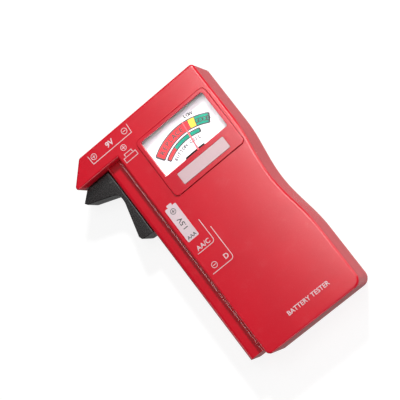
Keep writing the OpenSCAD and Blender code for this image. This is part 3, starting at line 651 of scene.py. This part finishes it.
def make_rear_case():
    """Rear shell: rounded back, screw wells and label seat."""
    body = domed(rounded_outline(), PARTING, 0, CROWN_R)
    rail = block((RAIL_X, RAIL_Y, 0), (LEFT + OVER, HOOK_Y + OVER, PARTING))
    soften_rail(rail, lambda co: co.z < EPS, 1.6, 6, 1.0)
    shell = carve(as_object("rear_case", body), [rail], "UNION")
    carve(shell, [inner_block(WALL, PARTING + OVER), inner_hook(WALL, PARTING + OVER),
                  block((CHANNEL_X, RAIL_Y + WALL, WALL), (LEFT, HOOK_Y, PARTING + OVER))])
    carve(shell, [rod(at, 4.1, 0.5, PARTING) for at in SCREWS], "UNION")
    low, high = node_box("rear_label")
    wells = [rod(at, 2.8, -OVER, 3.0) for at in SCREWS] + [rod(at, 1.6, -2, PARTING + OVER) for at in SCREWS]
    seat = slab((low.x - PLAY, low.y - PLAY, -OVER), (high.x + PLAY, high.y + PLAY, high.z), 2.0)
    carve(shell, wells + [seat])
    return dress(shell, "case", FINISHES["red_case"], ["rear_shell"], edge=0.16, slot="red_case")


# ---------------------------------------------------------------- meter front


def make_bezel():
    """The raised panel round the window, with its seat for the plate."""
    shell = as_object("bezel", slab(bezel_low, bezel_high, 2.1, 6, lip=0.35))
    inner = 0.7
    opening = slab((window_low.x + inner, window_low.y + inner, bezel_low.z - OVER),
                   (window_high.x - inner, window_high.y - inner, bezel_high.z + OVER), 0.8)
    seat = slab(*grown(plate_low, plate_high, PLAY, bezel_high.z + OVER), 0.5)
    carve(shell, [opening, seat])
    return dress(shell, "case", FINISHES["red_bezel"], ["meter_bezel"], edge=0.14, slot="red_bezel")


def make_window():
    """The clear window, with softened edges."""
    pane = slab(window_low, window_high, 1.0, 5)
    soften(pane, edges_where(pane, lambda co: co.z > window_high.z - 0.001), 0.12, 2)
    return piece("window_pane", pane, "case", FINISHES["clear_window"], ["meter_window"], slot="clear_window")


def make_plate():
    """The blank plate below the window, slightly crowned at its edge."""
    blank = slab(plate_low, plate_high, 0.5, 4, lip=0.14)
    return piece("blank_plate", blank, "case", FINISHES["pale_plate"], ["name_plate"], slot="pale_plate")


# ---------------------------------------------------------------- arm


def make_arm():
    """The sliding arm: jaw, foot, carriage and spring peg."""
    tip_x, foot_x, neck_x = arm_low.x, RAIL_X - 7.0, RAIL_X - 2.4
    root, neck = (neck_x - 0.6, ARM_Y - JAW_ROOT_H), (neck_x, ARM_Y - JAW_ROOT_H - 3.8)
    outline = [(ARM_X, ARM_Y), (tip_x + JAW_TIP_H, ARM_Y), (tip_x + 0.1, ARM_Y - JAW_TIP_H + 0.8),
               (tip_x + 0.9, ARM_Y - JAW_TIP_H - 0.4), root, neck,
               (foot_x, ARM_END + 2.4), (foot_x + 0.5, ARM_END + 0.9), (foot_x + 1.6, ARM_END + 0.3),
               (ARM_X, ARM_END)]
    body = prism(outline, ARM_Z0, ARM_Z1)
    soften(body, edges_where(body, upright(*root)), 2.0, 5)
    soften(body, edges_where(body, upright(*neck)), 2.5, 5)
    soften(body, edges_where(body, upright(tip_x + JAW_TIP_H, ARM_Y)), 0.8, 4)
    for at_level in (lambda co: co.z > ARM_Z1 - 0.001, lambda co: co.z < ARM_Z0 + 0.001):
        soften(body, edges_where(body, lambda co: at_level(co) and co.x < ARM_X + 0.5), 0.55, 4)
    arm = as_object("sliding_arm", body)
    truck_x, truck_y, truck_l, truck_top, lug_t = arm_high.x - 5.0, ARM_END + 2, ARM_L - 4, 13.65, 2
    spring_low, spring_high = node_box("return_spring")
    spring_x, spring_z = CHANNEL_X + 3.4, (spring_low.z + spring_high.z) / 2
    truck = block((truck_x, truck_y, 2.35), (arm_high.x, truck_y + truck_l, truck_top))
    tongue = block((ARM_X - OVER, truck_y, 8.35), (arm_high.x - 4, truck_y + truck_l, truck_top))
    lug = block((truck_x, truck_y, 13), (arm_high.x, truck_y + lug_t, spring_z + 1.4))
    peg = moved(rod((0, 0), 0.9, 0, 2.6, 24), (spring_x, truck_y + lug_t + 2.5, spring_z), 90, axis="X")
    carve(arm, [truck, tongue, lug, peg], "UNION")
    low, high = node_box("arm_contact")
    lead_low, lead_high = node_box("arm_lead")
    lead_x, lead_y, lead_w = lead_low.x - PLAY, lead_low.y - PLAY, 2.1
    lead_base, lead_top = ARM_Z0 - OVER, lead_high.z + PLAY
    carve(arm, [block((low.x - PLAY, low.y, low.z - PLAY), (high.x + PLAY, ARM_Y + OVER, high.z + PLAY)),
                block((lead_x, lead_y, lead_base), (lead_low.x + lead_w, ARM_Y + OVER, ARM_Z0 + 0.9)),
                block((lead_x, lead_y, lead_base), (lead_low.x + lead_w, lead_low.y + lead_w, lead_top)),
                block((lead_x, lead_y, lead_high.z - 0.6), (arm_high.x + OVER, lead_low.y + lead_w, lead_top))])
    return dress(arm, "arm", FINISHES["black_arm"], ["slide_arm"], edge=0.12, slot="black_arm")


def make_spring():
    """The return spring: one wound wire between the peg on the case and the peg on the arm."""
    low, high = node_box("return_spring")
    centre = (low + high) / 2
    wire, turns, per_turn = 0.35, 22, 12
    coil = (high.x - low.x) / 2 - wire
    bm = bmesh.new()
    bmesh.ops.create_circle(bm, cap_ends=False, segments=8, radius=wire)
    bmesh.ops.translate(bm, vec=(coil, 0, 0), verts=bm.verts)
    steps = turns * per_turn
    rise = (high.y - low.y - 2 * wire) / steps
    bmesh.ops.spin(bm, geom=bm.verts[:] + bm.edges[:], cent=(0, 0, 0), axis=(0, 1, 0), dvec=(0, rise, 0),
                   angle=math.tau * turns, steps=steps, use_duplicate=False)
    bmesh.ops.translate(bm, vec=(centre.x, low.y + wire, centre.z), verts=bm.verts)
    bmesh.ops.holes_fill(bm, edges=[edge for edge in bm.edges if edge.is_boundary], sides=0)
    bmesh.ops.recalc_face_normals(bm, faces=bm.faces[:])
    obj = as_object("wound_spring", bm)
    obj.data.materials.append(FINISHES["steel"])
    obj.data.polygons.foreach_set("use_smooth", [True] * len(obj.data.polygons))
    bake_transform(obj)
    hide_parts("return_spring")


# ---------------------------------------------------------------- printing

INK_T, INK_SINK = 0.05, 0.01
PRINT_DROP = 1.6
LINE_W, THIN_LINE_W = 0.3, 0.28
# radii of each dial scale about the pivot, and the angles where its colours change
MAIN_SCALE, MAIN_ENDS = (25.1, 29.4), (-31.5, 10.5, 17.2, 30.7)
SMALL_SCALE, SMALL_ENDS = (22.2, 24.0), (-30, -15.3, 19)


def words(text, height, bold=0.0):
    """Flat capital letters with the given height, centred, as a closed shape."""
    curve = bpy.data.curves.new("words", "FONT")
    curve.body, curve.align_x, curve.align_y = text, "CENTER", "CENTER"
    curve.extrude, curve.offset, curve.resolution_u = 0.02, bold, 3
    holder = bpy.data.objects.new("words", curve)
    scene.collection.objects.link(holder)
    graph = bpy.context.evaluated_depsgraph_get()
    mesh = bpy.data.meshes.new_from_object(holder.evaluated_get(graph), depsgraph=graph)
    bm = bmesh.new()
    bm.from_mesh(mesh)
    bpy.data.objects.remove(holder, do_unlink=True)
    bpy.data.curves.remove(curve)
    bpy.data.meshes.remove(mesh)
    bmesh.ops.remove_doubles(bm, verts=bm.verts, dist=0.0005)
    lows = [min(vert.co[i] for vert in bm.verts) for i in range(3)]
    highs = [max(vert.co[i] for vert in bm.verts) for i in range(3)]
    size = height / (highs[1] - lows[1])
    middle = Vector([(low + high) / 2 for low, high in zip(lows, highs)])
    middle.z = lows[2]
    bmesh.ops.translate(bm, vec=-middle, verts=bm.verts)
    bmesh.ops.scale(bm, vec=(size, size, INK_T / (highs[2] - lows[2])), verts=bm.verts)
    return bm


def stroke(points, width=LINE_W, closed=False):
    """A flat printed line through the given points."""
    bm = bmesh.new()
    verts = [bm.verts.new((x, y, 0)) for x, y in points]
    for a, b in zip(verts, verts[1:] + ([verts[0]] if closed else [])):
        bm.edges.new((a, b))
    out = bmesh.ops.extrude_edge_only(bm, edges=bm.edges[:])
    raised = [part for part in out["geom"] if isinstance(part, bmesh.types.BMVert)]
    bmesh.ops.translate(bm, vec=(0, 0, INK_T), verts=raised)
    bmesh.ops.recalc_face_normals(bm, faces=bm.faces[:])
    bmesh.ops.solidify(bm, geom=bm.faces[:], thickness=width)
    bmesh.ops.recalc_face_normals(bm, faces=bm.faces[:])
    return bm


def ring_points(radius, start=0.0, stop=360.0, steps=24, centre=(0, 0)):
    """Points along a circle, angles from the right, turning left."""
    full = stop - start >= 360
    count = steps if full else steps + 1
    angles = [math.radians(start + (stop - start) * i / steps) for i in range(count)]
    return [(centre[0] + radius * math.cos(angle), centre[1] + radius * math.sin(angle)) for angle in angles]


def arc_band(inner, outer, first, last):
    """Part of a flat ring about the needle's pivot, angles clockwise from straight up."""
    bm = bmesh.new()
    ends = [bm.verts.new((0, radius, 0)) for radius in (inner, outer)]
    bm.edges.new(ends)
    bmesh.ops.rotate(bm, cent=(0, 0, 0), matrix=Matrix.Rotation(math.radians(-first), 3, "Z"), verts=bm.verts)
    steps = max(2, round(abs(last - first) / 1.5))
    bmesh.ops.spin(bm, geom=bm.verts[:] + bm.edges[:], cent=(0, 0, 0), axis=(0, 0, 1),
                   angle=math.radians(first - last), steps=steps, use_duplicate=False)
    raise_faces(bm, INK_T)
    return moved(bm, PIVOT)


def on_arc(text, height, radius, angle, spacing=1.25, **settings):
    """Letters set one by one round the pivot, centred on an angle."""
    pitch = math.degrees(height * spacing * 0.78 / radius)
    parts = []
    for i, letter in enumerate(text):
        if letter == " ":
            continue
        turn = angle + (i - (len(text) - 1) / 2) * pitch
        upright_letter = moved(words(letter, height, **settings), (PIVOT.x, PIVOT.y + radius, 0))
        parts.append(moved(upright_letter, turn=-turn, about=PIVOT))
    return joined(parts)


def polarity(x, y, radius=1.45, plus=True, width=0.26):
    """A ringed plus or minus sign."""
    reach, half = radius * 0.55, width / 2
    parts = [stroke(ring_points(radius, centre=(x, y)), width, closed=True),
             block((x - reach, y - half, 0), (x + reach, y + half, INK_T))]
    if plus:
        parts.append(block((x - half, y + half, 0), (x + half, y + reach, INK_T)))
        parts.append(block((x - half, y - reach, 0), (x + half, y - half, INK_T)))
    return joined(parts)


def print_on(name, parts, level, ink, slot="pale_plate"):
    """Lays printed shapes on a surface at a given height, sunk a little into it."""
    whole = joined(parts)
    bmesh.ops.translate(whole, vec=(0, 0, level - INK_SINK), verts=whole.verts)
    return piece(name, whole, "case", INKS[ink], slot=slot)


def guide(x, y, end_x, end_y, radius):
    """A guide line: along the lower end of a cell, round a corner and up its side."""
    bend = ring_points(radius, 270, 360, 6, (end_x - radius, y + radius))
    return stroke([(x, y)] + bend + [(end_x, end_y)])


def make_face_print():
    """White battery guides on the face, and dark marks on the filled cell."""
    x0, y0 = LEFT, BOTTOM - PRINT_DROP
    nine = [stroke([(x0 - 10.7, y0 + 119), (x0 - 10.5, y0 + 114.5), (x0 + 12, y0 + 114.5), (x0 + 12.3, y0 + 119)]),
            polarity(x0 - 8.3, y0 + 117.2), polarity(x0 + 9.5, y0 + 117.2, plus=False),
            moved(words("9V", 2.7, bold=0.02), (x0 + 1, y0 + 117.3, 0)),
            polarity(x0 + 4.8, y0 + 111.7, 1.4)]
    button = [stroke([(x0 + 1.7, y0 + 105.3), (x0 + 8.5, y0 + 105.3),
                      (x0 + 8.5, y0 + 107.7), (x0 + 1.7, y0 + 107.7)], THIN_LINE_W, closed=True),
              stroke([(x0 + 3.0, y0 + 107.9), (x0 + 3.0, y0 + 109.2),
                      (x0 + 7.2, y0 + 109.2), (x0 + 7.2, y0 + 107.9)], THIN_LINE_W)]
    guides = [guide(x0 + 2.5, y0 + 54.3, x0 + 12.2, y0 + 66, 1.6),
              guide(x0 + 2.5, y0 + 43.5, x0 + 14.5, y0 + 60.5, 1.8),
              moved(words("AA/C", 2.2, bold=0.015), (x0 + 6.9, y0 + 56.4, 0)),
              moved(words("D", 2.3, bold=0.015), (x0 + 12.0, y0 + 46.4, 0)),
              polarity(x0 + 5.5, y0 + 46.5, plus=False)]
    cell = [slab((x0 + 2.3, y0 + 61, 0), (x0 + 8.3, y0 + 78.3, INK_T), 0.5, 3),
            slab((x0 + 4.0, y0 + 78.3, 0), (x0 + 6.6, y0 + 79.5, INK_T), 0.3, 2)]
    print_on("face_print", nine + button + guides + cell, FACE, "white_ink")
    caption = [moved(words("BATTERY TESTER", 2.1, bold=0.012), (x0 + 29, y0 + 10.5, 0))]
    print_on("face_caption", caption, FACE, "white_ink")
    marks = [polarity(x0 + 5.2, y0 + 75.8, 1.35, width=0.24),
             moved(words("1.5V", 2.3, bold=0.01), (x0 + 5.3, y0 + 69.3, 0), 90),
             moved(words("AAA", 1.6, bold=0.01), (x0 + 5.3, y0 + 62.5, 0))]
    print_on("cell_marks", marks, FACE + INK_T, "black_ink")


def make_dial_print():
    """The two coloured scales and their dark outlines and words."""
    start, yellow, green, end = MAIN_ENDS
    small_start, small_green, small_end = SMALL_ENDS
    print_on("scale_red", [arc_band(*MAIN_SCALE, start, yellow), arc_band(*SMALL_SCALE, small_start, small_green)],
             DIAL_TOP, "red_ink", slot="needle_red")
    print_on("scale_yellow", [arc_band(*MAIN_SCALE, yellow, green)], DIAL_TOP, "yellow_ink", slot="dial_white")
    print_on("scale_green", [arc_band(*MAIN_SCALE, green, end), arc_band(*SMALL_SCALE, small_green, small_end)],
             DIAL_TOP, "green_ink", slot="dial_white")
    lines = []
    for scale, ends in ((MAIN_SCALE, (start, end)), (SMALL_SCALE, (small_start, small_end))):
        lines += [arc_band(radius - 0.28, radius + 0.28, *ends) for radius in scale]
        lines += [arc_band(*scale, angle - 0.9, angle + 0.9) for angle in ends]
    lines += [arc_band(*MAIN_SCALE, angle - 0.4, angle + 0.4) for angle in (yellow, green)]
    lines += [arc_band(*SMALL_SCALE, small_green - 0.2, small_green + 0.2)]
    middle = sum(MAIN_SCALE) / 2
    lines += [on_arc("REPLACE", 2.2, middle, -12, bold=0.03),
              on_arc("GOOD", 2.1, middle, 24.3, spacing=1.12, bold=0.03),
              on_arc("LOW", 1.5, 31.3, 13, bold=0.04), on_arc("BUTTON CELL", 1.5, 20.4, -5, bold=0.04)]
    print_on("scale_lines", lines, DIAL_TOP + INK_T * 0.5, "black_ink", slot="black_moulding")


# ---------------------------------------------------------------- screws


def make_screws():
    """The four case screws, with domed heads and cross recesses."""
    low, high = node_box("case_screws")
    head_z, head_r, head_t, shank_r = low.z, 2.5, 1.8, 1.3
    recess_l, recess_w, recess_z = 1.5, 0.32, head_z + 1.0
    head = rod((0, 0), head_r, head_z, head_z + head_t)
    soften(head, edges_where(head, lambda co: co.z < head_z + 0.001), 0.7, 5)
    obj = as_object("case_screw_set", head)
    carve(obj, [rod((0, 0), shank_r, recess_z, high.z, 24)], "UNION")
    cross = [moved(block((-recess_l, -recess_w, -OVER), (recess_l, recess_w, recess_z)), turn=turn)
             for turn in (20, 110)]
    carve(obj, cross)
    carve(obj, [rod((0, 0), 0.75, -OVER, head_z + 1.25, 16, tip=0.3)])
    bm = bmesh.new()
    for x, y in SCREWS:
        one = bmesh.new()
        one.from_mesh(obj.data)
        bmesh.ops.scale(one, vec=(1 / MM,) * 3, verts=one.verts)
        moved(one, (x, y, 0))
        bm = joined([bm, one])
    bpy.data.objects.remove(obj, do_unlink=True)
    return piece("case_screw_set", bm, "case", FINISHES["steel"], ["case_screws"], slot="steel", edge=0.06)


make_front_case()
make_rear_case()
make_bezel()
make_window()
make_plate()
make_arm()
make_spring()
make_screws()
make_face_print()
make_dial_print()

# ---------------------------------------------------------------- carried-over nodes

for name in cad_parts:
    obj = bpy.data.objects.get(name)
    if obj is None or obj.type != "MESH":
        continue
    for place in obj.material_slots:
        key = place.material.name.split(".")[0] if place.material else ""
        for wanted, finish in FINISHES.items():
            if key.endswith(wanted):
                place.material = finish

# ---------------------------------------------------------------- camera, light and floor


CAMERA_PLACE, CAMERA_AIM, CAMERA_ROLL = (114.7, -97.8, 624.0), (-8.0, 10.9, 26.0), -37.45
SENSOR, LENS_RATIO = 36.0, 3.609
FLOOR_Z, FLOOR_HALF = -0.02, 2500
FLOOR_DARK, FLOOR_LIGHT = rgba((0.21,) * 3), rgba((0.23,) * 3)
FLOOR_GLOW_SEEN, FLOOR_GLOW_MIRRORED = 0.86, 0.15
WORLD_STRENGTH = 0.10
# name, place, target, width and height, watts, whether it lights diffusely
LAMPS = [
    ("key", (0.32, 0.36, 0.53), (0, 0, 0.02), (0.07, 0.07), 3.5, True),
    ("sheen", (0.075, 0.18, 0.60), (0.075, 0.18, 0), (0.24, 0.40), 4.0, False),
    ("overhead", (0.10, 0.08, 0.55), (0.02, 0, 0), (0.16, 0.16), 0.4, True),
    ("left_card", (-0.45, -0.05, 0.06), (0, 0, 0.02), (0.16, 0.16), 0.25, True),
    ("front_card", (-0.10, -0.45, 0.08), (0, 0, 0.02), (0.24, 0.24), 0.5, True),
    ("right_card", (0.48, -0.04, 0.12), (0, 0, 0.01), (0.24, 0.24), 1.1, True),
]


def make_camera():
    """The camera, with its roll about the line of sight."""
    here = Vector(CAMERA_PLACE) * MM
    there = Vector(CAMERA_AIM) * MM
    roll = math.radians(CAMERA_ROLL)
    ahead = (there - here).normalized()
    right = ahead.cross(Vector((0, 1, 0))).normalized()
    up = right.cross(ahead)
    across = right * math.cos(roll) + up * math.sin(roll)
    upward = up * math.cos(roll) - right * math.sin(roll)
    data = bpy.data.cameras.new("camera")
    data.sensor_width, data.lens = SENSOR, SENSOR * LENS_RATIO
    data.clip_start, data.clip_end = 0.02, 20.0
    camera = bpy.data.objects.new("camera", data)
    camera.matrix_world = Matrix((
        (across.x, upward.x, -ahead.x, here.x), (across.y, upward.y, -ahead.y, here.y),
        (across.z, upward.z, -ahead.z, here.z), (0, 0, 0, 1)))
    scene.collection.objects.link(camera)
    scene.camera = camera


def soft_light(name, place, target, size, watts, diffuse):
    """A soft box aimed at a point, in metres; without diffuse light it shows only in reflections."""
    data = bpy.data.lights.new(name, "AREA")
    data.shape, data.energy = "RECTANGLE", watts
    data.size, data.size_y = size
    lamp = bpy.data.objects.new(name, data)
    lamp.location = place
    lamp.rotation_mode = "QUATERNION"
    lamp.rotation_quaternion = (Vector(target) - Vector(place)).to_track_quat("-Z", "Y")
    lamp.visible_diffuse = diffuse
    scene.collection.objects.link(lamp)


def make_stage():
    """A pale floor, brightened where it is seen or mirrored, under soft lamps."""
    bm = bmesh.new()
    bmesh.ops.create_grid(bm, x_segments=1, y_segments=1, size=FLOOR_HALF)
    bmesh.ops.translate(bm, vec=(0, 0, FLOOR_Z), verts=bm.verts)
    floor = as_object("floor", bm)
    pale = bpy.data.materials.new("pale_floor")
    pale.use_nodes = True
    tree = pale.node_tree
    shader = tree.nodes["Principled BSDF"]
    place = add_node(tree, "ShaderNodeTexCoord", -900)
    tone = spread(tree, noise(tree, place.outputs["Object"], 6.0), 0.3, 0.7)
    tree.links.new(mix_colour(tree, tone, FLOOR_DARK, FLOOR_LIGHT), shader.inputs["Base Color"])
    shader.inputs["Roughness"].default_value = 0.9
    shader.inputs["Emission Color"].default_value = (1, 1, 1, 1)
    ray = add_node(tree, "ShaderNodeLightPath", -500, -300)
    seen = maths(tree, "MULTIPLY", ray.outputs["Is Camera Ray"], FLOOR_GLOW_SEEN)
    mirrored = maths(tree, "MULTIPLY", ray.outputs["Is Glossy Ray"], FLOOR_GLOW_MIRRORED)
    tree.links.new(maths(tree, "ADD", seen, mirrored), shader.inputs["Emission Strength"])
    floor.data.materials.append(pale)
    world = bpy.data.worlds.new("studio")
    scene.world = world
    world.use_nodes = True
    backdrop = world.node_tree.nodes["Background"]
    backdrop.inputs["Color"].default_value = (1, 1, 1, 1)
    backdrop.inputs["Strength"].default_value = WORLD_STRENGTH
    for lamp in LAMPS:
        soft_light(*lamp)
    scene.view_settings.view_transform = "Standard"
    scene.view_settings.look = "None"


make_camera()
make_stage()
